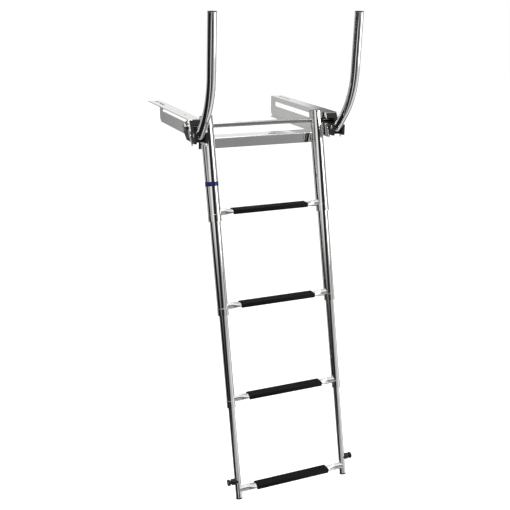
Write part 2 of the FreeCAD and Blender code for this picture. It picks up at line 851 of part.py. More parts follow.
def make_knobs():
    """Spool-shaped knobs that ride in the rails' channels when the ladder is stowed."""
    knobs = []
    screws = []
    neck = s.knob_base_length
    head = neck + s.knob_neck_length
    end = head + s.knob_head_length
    for word, side in SIDES:
        whole = fuse(f"{word}_knob",
                     knob_cylinder(word, side, "_base", s.knob_bore, 0, neck),
                     knob_cylinder(word, side, "_neck", s.knob_neck, neck, head),
                     knob_cylinder(word, side, "_head", s.knob_bore, head, end))
        sunk = end - s.knob_screw_sink
        saddle = rod(f"{word}_knob_saddle", tubes[3], 4 * s.knob_bore,
                     (mirrored(side, stile_x), 0, -foot))
        knobs.append(cut(f"{word}_knob", whole, saddle,
                         knob_cylinder(word, side, "_bore", s.knob_screw, -s.tube_wall, end),
                         knob_cylinder(word, side, "_sink", s.knob_screw_head, sunk, end)))
        face = end - s.knob_screw_rest
        screws.append(fuse(f"{word}_knob_screw",
                           knob_cylinder(word, side, "_shank", s.knob_screw,
                                         -s.knob_screw_reach, face),
                           knob_cylinder(word, side, "_cap", s.knob_screw_head, sunk, face)))
    on_ladder("catch_knobs", group("catch_knobs", *knobs))
    on_ladder("knob_screws", group("knob_screws", *screws))


def plug(name, outside, inside, x, face, height, depth):
    """A moulded end cap: a disc on a tube's end and a plug inside it."""
    upward = height.number > 0
    disc_start = face if upward else face + height
    plug_start = face - depth if upward else face
    disc = rod(name + "_disc", outside, height if upward else -height, (x, 0, disc_start))
    stem = rod(name + "_stem", inside, depth, (x, 0, plug_start))
    return fuse(name, disc, stem)


def make_ladder_fittings():
    """The pivot rod with its nuts and bushes, the end caps, feet, band and screws."""
    reach = cheek_out + s.brace_gap
    bar = rod("pivot_rod_bar", s.rod_bore, 2 * reach, (-reach, 0, 0), "x")
    on_ladder("pivot_rod", group("pivot_rod", bar))
    nuts = []
    bushes = []
    caps = []
    feet = []
    for word, side in SIDES:
        low, high = span(side, reach, reach + s.nut_height)
        nuts.append(rod(word + "_rod_nut", s.nut_bore, high - low, (low, 0, 0), "x"))
        wall = stile_x + s.tube_one / 2
        low, high = span(side, wall, web_in - s.side_fit)
        washer = rod(word + "_bush_disc", s.bush_bore, high - low, (low, 0, 0), "x")
        eye = rod(word + "_bush_eye", s.rod_bore, high - low, (low, 0, 0), "x")
        bushes.append(cut(word + "_bush", washer, eye))
        x = mirrored(side, stile_x)
        inside = s.tube_one - 2 * s.tube_wall
        caps.append(plug(word + "_cap", s.tube_one, inside, x, s.stile_head, s.cap_height,
                         s.plug_depth))
        inside = tubes[3] - 2 * s.tube_wall
        feet.append(plug(word + "_foot", tubes[3] + 2 * s.foot_lip, inside, x, -foot, -s.foot_height,
                         s.plug_depth))
    on_ladder("rod_nuts", group("rod_nuts", *nuts))
    on_ladder("pivot_bushes", group("pivot_bushes", *bushes))
    on_ladder("stile_caps", group("stile_caps", *caps))
    on_ladder("feet", group("feet", *feet))
    screws = [stop_screw(word, side) for word, side in SIDES]
    on_ladder("stop_screws", group("stop_screws", *screws))
    top = -s.band_drop
    on_ladder("marker_band", tube("marker_band", s.tube_one + 2 * s.band_thickness,
                                  s.band_thickness, top - s.band_length, top, -stile_x))


# --------------------------------------------------------------------------- hand rails
def make_hand_rail(word, side):
    """A bent tube on a domed foot, pinned between the lower guide's ears."""
    lower, upper = (math.radians(a.number) for a in (s.grip_lower_lean, s.grip_upper_lean))
    x = mirrored(side, bay_middle).number
    pin = V(x, pin_y.number, pin_z.number)
    rise = V(0, -math.sin(lower), math.cos(lower))
    climb = V(0, -math.sin(upper), math.cos(upper))
    ahead = V(0, math.cos(lower), math.sin(lower))
    radius = s.grip_bend.number
    bend_start = pin + rise * s.grip_lower_run.number
    centre = bend_start + ahead * radius
    half = (lower + upper) / 2
    bend_middle = centre - V(0, math.cos(half), math.sin(half)) * radius
    bend_end = centre - V(0, math.cos(upper), math.sin(upper)) * radius
    top = bend_end + climb * s.grip_upper_run.number
    neck = s.foot_neck.number
    shoulder = pin + rise * neck
    path = Part.Wire([Part.LineSegment(shoulder, bend_start).toShape(),
                      Part.Arc(bend_start, bend_middle, bend_end).toShape(),
                      Part.LineSegment(bend_end, top).toShape()])
    outer = s.grip_bore.number / 2
    inner = outer - s.tube_wall.number
    bars = [path.makePipeShell([Part.Wire(Part.makeCircle(size, shoulder, rise))], True, True)
            for size in (outer, inner)]
    hand = doc.addObject("Part::Feature", word + "_hand_rail_tube")
    hand.Shape = bars[0].cut(bars[1])
    part(word + "_hand_rail", hand)

    foot_shape = Part.makeSphere(outer, pin).fuse([
        Part.makeCylinder(outer, neck, pin, rise),
        Part.makeCylinder(inner, neck + s.plug_depth.number, pin, rise)])
    upper_half = Part.makeCylinder(2 * outer, 2 * outer, shoulder, rise)
    keep = Part.makeCylinder(inner, 4 * outer, pin, rise)
    dome = foot_shape.cut(upper_half.cut(keep))
    hole = Part.makeCylinder(s.pin_bore.number / 2, 4 * outer, pin - V(2 * outer, 0, 0), V(1, 0, 0))
    eye = doc.addObject("Part::Feature", word + "_hand_rail_eye")
    eye.Shape = dome.cut(hole).removeSplitter()
    part(word + "_hand_rail_foot", eye)

    cap = Part.makeCylinder(outer, s.cap_height.number, top, climb).fuse(
        Part.makeCylinder(inner, s.plug_depth.number, top - climb * s.plug_depth.number, climb))
    plug_shape = doc.addObject("Part::Feature", word + "_hand_rail_plug")
    plug_shape.Shape = cap.removeSplitter()
    part(word + "_hand_rail_cap", plug_shape)

    low, high = span(side, web_out, cheek_in)
    low = low - s.pin_side_fit
    high = high + s.pin_side_fit
    shank = rod(word + "_pin_shank", s.pin_bore, high - low, (low, pin_y, pin_z), "x")
    heads = [rod(word + "_pin_head_low", s.pin_head, s.pin_head_height,
                 (low - s.pin_head_height, pin_y, pin_z), "x"),
             rod(word + "_pin_head_high", s.pin_head, s.pin_head_height,
                 (high, pin_y, pin_z), "x")]
    part(word + "_hand_rail_pin", fuse(word + "_pin", shank, *heads))


# ----------------------------------------------------------------------------- assembly
for word, side in SIDES:
    make_rail(word, side)
    make_upper_guide(word, side)
    make_lower_guide(word, side)
    make_hand_rail(word, side)
make_guide_rivets()
make_brace()
make_ladder_fittings()
make_knobs()
for level in range(4):
    for word, side in SIDES:
        make_stile(level, word, side)
    if level < 3:
        make_collars(level)
    if level > 0:
        make_stop_rings(level)
    make_tread(level)

doc.recompute()
for thing in doc.Objects:
    if "Invalid" in thing.State or "Error" in thing.State:
        raise ValueError(f"{thing.Name} failed: {thing.State}")
os.makedirs("parts", exist_ok=True)
for name, thing in parts.items():
    shape = thing.Shape
    if shape.isNull() or not shape.isValid() or not shape.Solids:
        raise ValueError(f"{name} has no valid solid")
    shape.exportStep(f"parts/{name}.step")
    print(f"{name}: {len(shape.Solids)} solids, {shape.Volume:.0f} mm3")

first = head_of(1) - s.rod_bore / 2 - s.stack_gap
travel = s.tread_pitch - s.tread_tube / 2 - s.collar_length - s.tread_rise - s.stack_gap
last = s.tread_pitch - s.knob_rise - s.knob_bore / 2 - s.collar_length - s.tread_rise - s.stack_gap
print(f"pivot y {rod_y.number:.3f} z {rod_z.number:.3f}; pin y {pin_y.number:.3f} z {pin_z.number:.3f}")
print(f"slide travel {first.number:.2f}, {travel.number:.2f} and {last.number:.2f}")
print(f"hole spacing {2 * flange_middle.number:.3f}; slots at y {(front + s.rail_slot_setback).number:.2f}")
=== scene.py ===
"""Looks for the telescoping boarding ladder: mirror-polished steel, black nylon, ribbed pads."""
import json
import math

import bmesh
import bpy
from mathutils import Matrix, Vector


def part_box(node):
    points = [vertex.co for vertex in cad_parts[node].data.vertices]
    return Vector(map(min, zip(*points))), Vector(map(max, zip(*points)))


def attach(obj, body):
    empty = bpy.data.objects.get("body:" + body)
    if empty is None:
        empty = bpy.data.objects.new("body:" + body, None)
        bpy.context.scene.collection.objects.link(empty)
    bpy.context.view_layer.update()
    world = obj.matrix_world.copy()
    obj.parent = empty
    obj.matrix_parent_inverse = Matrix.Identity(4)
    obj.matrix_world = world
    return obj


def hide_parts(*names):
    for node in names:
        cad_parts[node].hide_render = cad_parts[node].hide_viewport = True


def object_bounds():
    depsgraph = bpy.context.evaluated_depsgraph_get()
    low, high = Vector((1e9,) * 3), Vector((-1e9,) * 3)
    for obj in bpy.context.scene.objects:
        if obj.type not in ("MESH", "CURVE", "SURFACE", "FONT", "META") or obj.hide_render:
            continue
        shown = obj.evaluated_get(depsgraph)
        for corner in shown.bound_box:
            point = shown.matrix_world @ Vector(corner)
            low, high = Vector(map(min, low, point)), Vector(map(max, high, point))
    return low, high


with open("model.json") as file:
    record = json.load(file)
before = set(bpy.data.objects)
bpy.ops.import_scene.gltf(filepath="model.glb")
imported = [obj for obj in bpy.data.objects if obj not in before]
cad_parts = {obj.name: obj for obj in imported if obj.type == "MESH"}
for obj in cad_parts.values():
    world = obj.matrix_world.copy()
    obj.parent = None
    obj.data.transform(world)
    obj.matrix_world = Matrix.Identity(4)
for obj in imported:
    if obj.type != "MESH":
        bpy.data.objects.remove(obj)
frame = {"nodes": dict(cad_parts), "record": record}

MM = 0.001
CAD_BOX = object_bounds()
NODES = frame["nodes"]
BODY_OF = {name: body
           for body, names in frame["record"]["behaviour"]["bodies"].items()
           for name in names}
SLIDE = next(j for j in frame["record"]["behaviour"]["joints"] if j["name"] == "section_2_slide")
LEAN = math.atan2(abs(SLIDE["axis"][1]), abs(SLIDE["axis"][2]))
SIDES = ("left", "right")
SECTIONS = 4


# ------------------------------------------------------------------------ shader helpers
class Shader:
    """A material's node tree with short calls for the nodes used here."""

    def __init__(self, name):
        self.material = bpy.data.materials.new(name)
        self.material.use_nodes = True
        self.nodes = self.material.node_tree.nodes
        self.links = self.material.node_tree.links
        self.bsdf = self.nodes["Principled BSDF"]

    def node(self, kind, **settings):
        made = self.nodes.new(kind)
        for key, value in settings.items():
            setattr(made, key, value)
        return made

    def feed(self, socket, value):
        """Link a socket, or set it when the value is plain."""
        if isinstance(value, bpy.types.NodeSocket):
            self.links.new(value, socket)
        else:
            socket.default_value = value

    def coords(self, scale=(1, 1, 1), turn=0.0):
        """The piece's own metres, turned about X so that Z follows a leaning tube."""
        here = self.node("ShaderNodeTexCoord").outputs["Object"]
        turned = self.node("ShaderNodeMapping", vector_type="POINT")
        turned.inputs["Rotation"].default_value = (turn, 0, 0)
        self.feed(turned.inputs["Vector"], here)
        spread = self.node("ShaderNodeMapping", vector_type="POINT")
        spread.inputs["Scale"].default_value = scale
        self.feed(spread.inputs["Vector"], turned.outputs["Vector"])
        return spread.outputs["Vector"]

    def noise(self, vector, scale, detail=3.0, rough=0.5):
        made = self.node("ShaderNodeTexNoise")
        self.feed(made.inputs["Vector"], vector)
        made.inputs["Scale"].default_value = scale
        made.inputs["Detail"].default_value = detail
        made.inputs["Roughness"].default_value = rough
        return made.outputs["Fac"]

    def spread(self, value, low, high, to_low=0.0, to_high=1.0):
        made = self.node("ShaderNodeMapRange")
        self.feed(made.inputs["Value"], value)
        for key, number in (("From Min", low), ("From Max", high),
                            ("To Min", to_low), ("To Max", to_high)):
            made.inputs[key].default_value = number
        return made.outputs["Result"]

    def maths(self, operation, a, b=0.0):
        made = self.node("ShaderNodeMath", operation=operation)
        self.feed(made.inputs[0], a)
        self.feed(made.inputs[1], b)
        return made.outputs[0]

    def blend(self, factor, a, b):
        made = self.node("ShaderNodeMix", data_type="RGBA")
        self.feed(made.inputs["Factor"], factor)
        self.feed(made.inputs["A"], (*a, 1) if isinstance(a, tuple) else a)
        self.feed(made.inputs["B"], (*b, 1) if isinstance(b, tuple) else b)
        return made.outputs["Result"]

    def bump(self, height, strength, distance, under=None):
        made = self.node("ShaderNodeBump")
        made.inputs["Strength"].default_value = strength
        made.inputs["Distance"].default_value = distance
        self.feed(made.inputs["Height"], height)
        if under is not None:
            self.feed(made.inputs["Normal"], under)
        return made.outputs["Normal"]

    def soft_edges(self, radius):
        made = self.node("ShaderNodeBevel", samples=6)
        made.inputs["Radius"].default_value = radius
        return made.outputs["Normal"]


def steel(name, bright, dull, rough, grain, turn=0.0, edge=0.0004, smudge=0.5):
    """Polished stainless: buffing lines along `grain`, faint smudges, water marks.

    `grain` scales the noise on each axis, so the lines run along the axis with the low value.
    """
    s = Shader(name)
    lines = s.noise(s.coords(grain, turn), 1.0, 5.0, 0.62)
    broad = s.noise(s.coords(), 16.0, 4.0, 0.55)
    spots = s.noise(s.coords(), 210.0, 2.0, 0.5)
    film = s.spread(broad, 0.36, 0.66)
    marks = s.spread(spots, 0.60, 0.72, 0.0, 0.5)
    wear = s.maths("MAXIMUM", s.maths("MULTIPLY", film, smudge), marks)
    s.feed(s.bsdf.inputs["Base Color"], s.blend(wear, bright, dull))
    fine = s.spread(lines, 0.3, 0.7, rough[0], rough[1])
    haze = s.maths("MULTIPLY", wear, (rough[1] - rough[0]) * 0.9)
    s.feed(s.bsdf.inputs["Roughness"], s.maths("ADD", fine, haze))
    s.bsdf.inputs["Metallic"].default_value = 1.0
    normal = s.bump(lines, 0.05, 0.00012, s.soft_edges(edge))
    s.feed(s.bsdf.inputs["Normal"], s.bump(broad, 0.03, 0.0012, normal))
    return s.material


def plastic(name, dark, light, rough, pitch, depth, edge=0.0004, dust=0.3, shine=0.25):
    """Moulded plastic: fine mould grain, rubbed patches, and a painted highlight that makes
    convex edges and rib crests paler.
    """
    s = Shader(name)
    grain = s.noise(s.coords(), 1 / pitch, 3.0, 0.6)
    patch = s.noise(s.coords(), 45.0, 4.0, 0.6)
    scuff = s.noise(s.coords((900, 60, 500)), 1.0, 4.0, 0.7)
    # Painted highlight: convex edges and rib crests are made paler in the base colour, where
    # light would catch them.
    painted_edge_highlight = s.spread(s.node("ShaderNodeNewGeometry").outputs["Pointiness"], 0.52, 0.62)
    scratch = s.spread(scuff, 0.62, 0.78, 0.0, 0.6)
    wear_and_edge_highlight = s.maths("MAXIMUM", s.maths("MULTIPLY", s.spread(patch, 0.42, 0.72), dust), scratch)
    # The painted edge highlight joins the real wear marks (rubbed patches, scratches) in the
    # base colour.
    wear_and_edge_highlight = s.maths("MAXIMUM", wear_and_edge_highlight, s.maths("MULTIPLY", painted_edge_highlight, 0.6))
    s.feed(s.bsdf.inputs["Base Color"], s.blend(wear_and_edge_highlight, dark, light))
    s.feed(s.bsdf.inputs["Roughness"], s.spread(patch, 0.3, 0.7, rough[0], rough[1]))
    s.bsdf.inputs["Specular IOR Level"].default_value = shine
    normal = s.bump(grain, 0.35, depth, s.soft_edges(edge))
    s.feed(s.bsdf.inputs["Normal"], s.bump(scuff, 0.08, depth, normal))
    return s.material


TUBE_STEEL = dict(bright=(0.90, 0.89, 0.88), dull=(0.78, 0.775, 0.77), rough=(0.02, 0.06))
SHEET_STEEL = dict(bright=(0.84, 0.835, 0.83), dull=(0.74, 0.735, 0.73), rough=(0.05, 0.11))
FINISH = {
    "stile": steel("stile_steel", grain=(950, 950, 9), turn=-LEAN, **TUBE_STEEL),
    "grip": steel("grip_steel", grain=(950, 950, 9), **TUBE_STEEL),
    "cross": steel("cross_tube_steel", grain=(9, 950, 950), **TUBE_STEEL),
    "rod": steel("rod_steel", bright=(0.44, 0.435, 0.43), dull=(0.32, 0.32, 0.32),
                 rough=(0.10, 0.18), grain=(9, 950, 950)),
    "rail": steel("rail_steel", grain=(700, 14, 700), **SHEET_STEEL),
    "brace": steel("brace_steel", grain=(10, 700, 700), **SHEET_STEEL),
    "fastener": steel("fastener_steel", bright=(0.78, 0.775, 0.77), dull=(0.55, 0.55, 0.55),
                      rough=(0.12, 0.26), grain=(1500, 300, 300)),
    "plate": steel("plate_steel", bright=(0.34, 0.34, 0.35), dull=(0.22, 0.22, 0.23),
                   rough=(0.3, 0.45), grain=(30, 1800, 1800)),
    "nylon": plastic("guide_nylon_black", (0.006, 0.006, 0.006), (0.024, 0.024, 0.024),
                     (0.28, 0.46), 0.0011, 0.00012, shine=0.2),
    "bush": plastic("bush_nylon_black", (0.012, 0.012, 0.012), (0.04, 0.04, 0.04),
                    (0.4, 0.55), 0.0009, 0.00008),
    "pad": plastic("pad_black", (0.003, 0.003, 0.003), (0.013, 0.013, 0.013),
                   (0.34, 0.50), 0.00055, 0.00010, edge=0.0002, shine=0.07),
    "cap": plastic("cap_black", (0.003, 0.003, 0.003), (0.014, 0.014, 0.014),
                   (0.34, 0.48), 0.0008, 0.00006, shine=0.10),
    "knob": plastic("knob_black", (0.006, 0.006, 0.006), (0.028, 0.028, 0.028),
                    (0.22, 0.40), 0.0010, 0.00010, shine=0.25),
    "band": plastic("band_blue", (0.003, 0.004, 0.045), (0.009, 0.012, 0.10),
                    (0.22, 0.38), 0.0016, 0.00010, shine=0.3),
}
SLOT_FINISH = {
    "polished_tube": "stile", "polished_sheet": "rail", "fasteners": "fastener",
    "oval_plate": "plate", "guide_nylon": "nylon", "bush_nylon": "bush",
    "tread_pad": "pad", "end_cap": "cap", "knob_plastic": "knob", "marker_band": "band",
}
NODE_FINISH = {"cross_brace": "brace", "pivot_rod": "rod"}
for number in range(1, SECTIONS + 1):
    NODE_FINISH[f"tread_{number}"] = "cross"
for word in SIDES:
    NODE_FINISH[f"{word}_hand_rail"] = "grip"
    NODE_FINISH[f"{word}_hand_rail_foot"] = "grip"
for name, node in NODES.items():
    slot = node.material_slots[0].material.name.split(".")[0]
    finish = NODE_FINISH.get(name, SLOT_FINISH[slot])
    for holder in node.material_slots:
        holder.material = FINISH[finish]


# ------------------------------------------------------------------------ mesh helpers
def new_piece(name, maker, angle, finish, replaced):
    """Turn a bmesh into a piece that stands for a CAD node and rides on its body."""
    bmesh.ops.recalc_face_normals(maker, faces=maker.faces)
    mesh = bpy.data.meshes.new(name)
    maker.to_mesh(mesh)
    maker.free()
    for face in mesh.polygons:
        face.use_smooth = True
    mesh.set_sharp_from_angle(angle=math.radians(angle))
    mesh.materials.append(FINISH[finish])
    piece = bpy.data.objects.new(name, mesh)
    bpy.context.scene.collection.objects.link(piece)
    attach(piece, BODY_OF[replaced])
    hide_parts(replaced)


def join_rows(maker, rows):
    """Skin between rings of vertices and close both ends."""
    for one, two in zip(rows, rows[1:]):
        for k in range(len(one)):
            following = (k + 1) % len(one)
            maker.faces.new((one[k], one[following], two[following], two[k]))
    maker.faces.new(rows[0][::-1])
    maker.faces.new(rows[-1])


def arc(centre, radius, start, end, steps):
    """Points on a circular arc, degrees."""
    points = []
    for step in range(steps + 1):
        angle = math.radians(start + (end - start) * step / steps)
        points.append((centre[0] + radius * math.cos(angle),
                       centre[1] + radius * math.sin(angle)))
    return points


def middle_of(low, high):
    return Vector([(a + b) / 2 for a, b in zip(low, high)])


SHARP_ANGLE = 40


# ------------------------------------------------------------------------ ribbed covers
PAD_SKIRT = 6.2
SKIRT_ROUND = 0.5
PAD_RIBS = 6
RIB_WIDTH = 2.0
RIB_SPREAD = 1.15
GROOVE = 0.6
# Across one rib, in half widths, and how far below the crest.
RIB_SHAPE = ((-1.0, GROOVE), (-0.72, 0.18), (-0.5, 0.02), (0, 0),
             (0.5, 0.02), (0.72, 0.18), (1.0, GROOVE))
EDGE_ROUND = 2.0
EDGE_STEPS = 6
HOOK = 3.5
HOOK_RISE = 3.0
SKIN_GAP = 0.03
TREAD_HALF = (13.5 + SKIN_GAP, 5.8 + SKIN_GAP)
INSIDE_STEPS = 24
END_ROUND = 0.8
# Distance from the cover's end, and how much smaller its section is there.
END_SHAPE = ((0.0, END_ROUND), (0.25, 0.35), (END_ROUND, 0.0))


def cover_profile(half, top, inset):
    """The cover's section across the tread: ribbed top, rounded edges, hooks below."""
    top = top - inset
    reach = half - inset
    low = -PAD_SKIRT + inset
    inside = half - HOOK
    points = [(-inside, low), (-reach + SKIRT_ROUND, low), (-reach, low + SKIRT_ROUND)]
    points += arc((EDGE_ROUND - reach, top - EDGE_ROUND), EDGE_ROUND, 180, 90, EDGE_STEPS)
    for rib in range(PAD_RIBS):
        middle = (rib - (PAD_RIBS - 1) / 2) * 2 * RIB_WIDTH
        for across, depth in RIB_SHAPE:
            points.append((middle + across * RIB_WIDTH / 2 * RIB_SPREAD, top - depth))
    points += arc((reach - EDGE_ROUND, top - EDGE_ROUND), EDGE_ROUND, 90, 0, EDGE_STEPS)
    points += [(reach, low + SKIRT_ROUND), (reach - SKIRT_ROUND, low), (inside, low)]
    turn = -math.degrees(math.asin(HOOK_RISE / TREAD_HALF[1]))
    for step in range(INSIDE_STEPS + 1):
        angle = math.radians(turn + (180 - 2 * turn) * step / INSIDE_STEPS)
        points.append((TREAD_HALF[0] * math.cos(angle), TREAD_HALF[1] * math.sin(angle)))
    return points


def make_cover(number):
    """The clip-on cover of one tread, lofted along X with both ends rounded."""
    low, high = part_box(f"tread_{number}_pad")
    base = ((low[1] + high[1]) / 2, low[2] + PAD_SKIRT * MM)
    top = (high[2] - base[1]) / MM
    half = (high[1] - low[1]) / 2 / MM
    sections = [(low[0] + along * MM, inset) for along, inset in END_SHAPE]
    sections += [(high[0] - along * MM, inset) for along, inset in reversed(END_SHAPE)]
    maker = bmesh.new()
    rows = [[maker.verts.new((x, base[0] + y * MM, base[1] + z * MM))
             for y, z in cover_profile(half, top, inset)] for x, inset in sections]
    join_rows(maker, rows)
    new_piece(f"ribbed_cover_{number}", maker, SHARP_ANGLE, "pad",
              f"tread_{number}_pad")


# ------------------------------------------------------------------------ turned pieces
# Outlines below are lists of (height along the axis, radius), in millimetres.
ALONG_STILE = Vector((0, math.sin(LEAN), math.cos(LEAN)))
ACROSS_STILE = Vector((0, math.cos(LEAN), -math.sin(LEAN)))
ALONG_X = Vector((1, 0, 0))
SEGMENTS = 56
SMALL_SEGMENTS = 40
RIM_STEPS = 5
ROD = middle_of(*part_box("pivot_rod"))


def turned(maker, centre, axis, profile, first=None, segments=SEGMENTS):
    """Add a lathe-turned solid. `first` gives the first ring's height from its offset
    across the stile, for an end that sits on a tube.
    """
    axis = Vector(axis).normalized()
    side = axis.cross(ALONG_X)
    if side.length < 0.5:
        side = ACROSS_STILE.copy()
    side.normalize()
    other = axis.cross(side)
    rows = []
    for number, (height, radius) in enumerate(profile):
        row = []
        for k in range(segments):
            angle = 2 * math.pi * k / segments
            out = (side * math.cos(angle) + other * math.sin(angle)) * radius * MM
            rise = height if first is None or number else first(radius * math.cos(angle))
            row.append(maker.verts.new(Vector(centre) + axis * rise * MM + out))
        rows.append(row)
    join_rows(maker, rows)


def rounded(low, high, radius, edge):
    """A disc's outline from its lower face up, with both rims rounded."""
    quarter = [math.pi / 2 * k / RIM_STEPS for k in range(RIM_STEPS + 1)]
    points = [(low, radius - edge)]
    points += [(low + edge - edge * math.cos(a), radius - edge + edge * math.sin(a))
               for a in quarter[1:]]
    points += [(high - edge + edge * math.sin(a), radius - edge + edge * math.cos(a))
               for a in quarter]
    return points


def make_spool_knobs():
    """A base that sits on the tube, a narrow waist and a rounded head, one on each side."""
    tube_radius = 9.5
    sink = 0.4
    low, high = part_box("catch_knobs")
    tube_low, tube_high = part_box("right_stile_4")
    reach = (high[0] - low[0]) / 2 / MM
    stile = (tube_low[0] + tube_high[0]) / 2 / MM
    end = reach - stile
    base = [(0, 9.4), (end - 13.6, 9.45), (end - 12.9, 9.2), (end - 12.6, 8.4)]
    waist = [(end - 12.4, 6.6), (end - 12.0, 5.8), (end - 11.4, 5.5), (end - 8.6, 5.5),
             (end - 8.0, 5.8), (end - 7.6, 6.8)]
    head = [(end - 7.4, 8.3), (end - 6.9, 9.1), (end - 6.0, 9.5), (end - 1.8, 9.5),
            (end - 0.9, 9.2), (end - 0.3, 8.5), (end, 7.4)]
    recess = [(end, 5.0), (end - 0.2, 4.7), (end - 2.0, 4.6)]

    def saddle(offset):
        return math.sqrt(max(0.0, tube_radius ** 2 - offset * offset)) - sink

    maker = bmesh.new()
    for side in (-1, 1):
        centre = (side * stile * MM, (low[1] + high[1]) / 2, (low[2] + high[2]) / 2)
        turned(maker, centre, (side, 0, 0), base + waist + head + recess, first=saddle)
    new_piece("spool_knobs", maker, SHARP_ANGLE, "knob", "catch_knobs")


def make_knob_screws():
    """Screws down the knobs' middles, with low heads and a small socket."""
    shank = 2.5
    length = 30
    low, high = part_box("knob_screws")
    face = (high[0] - low[0]) / 2 / MM
    head = [(face - 1.6, 4.3), (face - 0.9, 4.45), (face - 0.3, 4.1), (face - 0.05, 3.2)]
    socket = [(face, 2.4), (face - 0.05, 1.9), (face - 1.1, 1.7)]
    maker = bmesh.new()
    for side in (-1, 1):
        centre = (0, (low[1] + high[1]) / 2, (low[2] + high[2]) / 2)
        turned(maker, centre, (side, 0, 0),
               [(face - length, shank), (face - 1.6, shank)] + head + socket,
               segments=SMALL_SEGMENTS)
    new_piece("knob_screw_heads", maker, SHARP_ANGLE, "fastener", "knob_screws")


def make_rod_nuts():
    """Nuts on the pivot rod's ends, rounded over on the outside."""
    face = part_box("rod_nuts")[1][0] / MM
    body = [(face - 8.0, 9.0), (face - 7.6, 9.8), (face - 6.6, 10.0), (face - 2.6, 10.0)]
    crown = [(face - 1.5, 9.6), (face - 0.7, 8.8), (face - 0.2, 7.4), (face, 5.6),
             (face - 0.1, 4.4), (face - 0.6, 3.9), (face - 1.0, 3.6)]
    maker = bmesh.new()
    for side in (-1, 1):
        turned(maker, ROD, (side, 0, 0), body + crown)
    new_piece("rod_end_nuts", maker, SHARP_ANGLE, "rod", "rod_nuts")


def make_hand_rail_pin(word):
    """A pin with a low domed head at each end."""
    shank = 4.0
    head_height = 2.2
    low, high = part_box(f"{word}_hand_rail_pin")
    half = (high[0] - low[0]) / 2 / MM
    head = [(half - head_height, 6.1), (half - 2.0, 6.45), (half - 1.5, 6.5),
            (half - 0.9, 6.2), (half - 0.4, 5.3), (half - 0.1, 3.6), (half, 1.8)]
    outline = [(-height, radius) for height, radius in reversed(head)]
    outline += [(head_height - half, shank), (half - head_height, shank)]
    maker = bmesh.new()
    turned(maker, middle_of(low, high), ALONG_X, outline + head)
    new_piece(f"{word}_hand_rail_rivet", maker, SHARP_ANGLE, "fastener",
              f"{word}_hand_rail_pin")


def make_brace_bolts():
    """Bolts through the brace and the rails' lips: domed heads above, nuts below."""
    head_radius = 5.4
    shank = 3.0
    nut = 5.1
    low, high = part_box("brace_bolts")
    depth = (high[2] - low[2]) / MM
    below = [(-depth, 2.6), (-depth, shank), (-depth + 0.6, shank), (-depth + 0.6, 4.6),
             (-depth + 1.0, nut), (-depth + 4.8, nut), (-depth + 4.8, shank)]
    above = [(-3.0, shank), (-3.0, 5.1), (-2.6, head_radius), (-1.6, 5.2), (-0.8, 4.4),
             (-0.2, 3.0), (0, 1.7), (-0.9, 1.5)]
    maker = bmesh.new()
    for x in (low[0] + head_radius * MM, high[0] - head_radius * MM):
        for y in (low[1] + head_radius * MM, high[1] - head_radius * MM):
            turned(maker, (x, y, high[2]), (0, 0, 1), below + above, segments=SMALL_SEGMENTS)
    new_piece("brace_dome_bolts", maker, SHARP_ANGLE, "fastener", "brace_bolts")


def make_stile_caps():
    """Shallow caps on the stiles' top ends, with plugs inside the tubes."""
    stile_radius = 19.0
    stile_top = 26.0
    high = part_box("stile_caps")[1]
    plug = [(-12.0, 17.3), (-0.05, 17.7)]
    crown = [(2.3, 15.0), (2.48, 9.0), (2.5, 3.0)]
    maker = bmesh.new()
    for side in (-1, 1):
        foot = Vector((side * (high[0] - stile_radius * MM), ROD.y, ROD.z))
        turned(maker, foot + ALONG_STILE * stile_top * MM, ALONG_STILE,
               plug + rounded(0.02, 2.0, 18.9, 0.7) + crown)
    new_piece("stile_end_caps", maker, SHARP_ANGLE, "cap", "stile_caps")


def make_foot_plugs():
    """Plugs in the lowest tube ends, with a rounded lip below each tube."""
    lip_radius = 10.0
    low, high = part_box("feet")
    sole = [(0.02, 4.0), (0.1, 7.0)]
    plug = [(4.0, 8.2), (15, 8.1)]
    maker = bmesh.new()
    for side in (-1, 1):
        centre = Vector((side * (high[0] - lip_radius * MM),
                         low[1] + lip_radius * MM * math.cos(LEAN),
                         low[2] + lip_radius * MM * math.sin(LEAN)))
        turned(maker, centre, ALONG_STILE, sole + rounded(0.3, 3.95, 9.95, 0.9) + plug)
    new_piece("foot_plugs", maker, SHARP_ANGLE, "cap", "feet")


def make_grip_cap(word):
    """The cap in a hand rail's upper end, which leans slightly forward."""
    lean = math.radians(2.0)
    radius = 12.5
    low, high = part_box(f"{word}_hand_rail_cap")
    axis = Vector((0, -math.sin(lean), math.cos(lean)))
    centre = Vector(((low[0] + high[0]) / 2, low[1] + radius * MM * math.cos(lean),
                     high[2] - radius * MM * math.sin(lean)))
    plug = [(-14.5, 11.0), (-2.55, 11.2)]
    crown = [(-0.2, 9.5), (-0.03, 5.0), (0, 2.0)]
    maker = bmesh.new()
    turned(maker, centre, axis, plug + rounded(-2.48, -0.6, 12.45, 0.6) + crown)
    new_piece(f"{word}_grip_cap", maker, SHARP_ANGLE, "cap",
              f"{word}_hand_rail_cap")


for number in range(1, SECTIONS + 1):
    make_cover(number)
make_spool_knobs()
make_knob_screws()
make_rod_nuts()
for word in SIDES:
    make_hand_rail_pin(word)
make_brace_bolts()
make_stile_caps()
make_foot_plugs()
for word in SIDES:
    make_grip_cap(word)


# ------------------------------------------------------------------------ camera
CAMERA_PLACE = Vector((-1.0025, -2.3016, 0.3823))
CAMERA_AZIMUTH = math.radians(23.788)
CAMERA_DOWN = math.radians(18.412)
CAMERA_ROLL = math.radians(1.0)
LENS = 58.99
SENSOR = 36.0


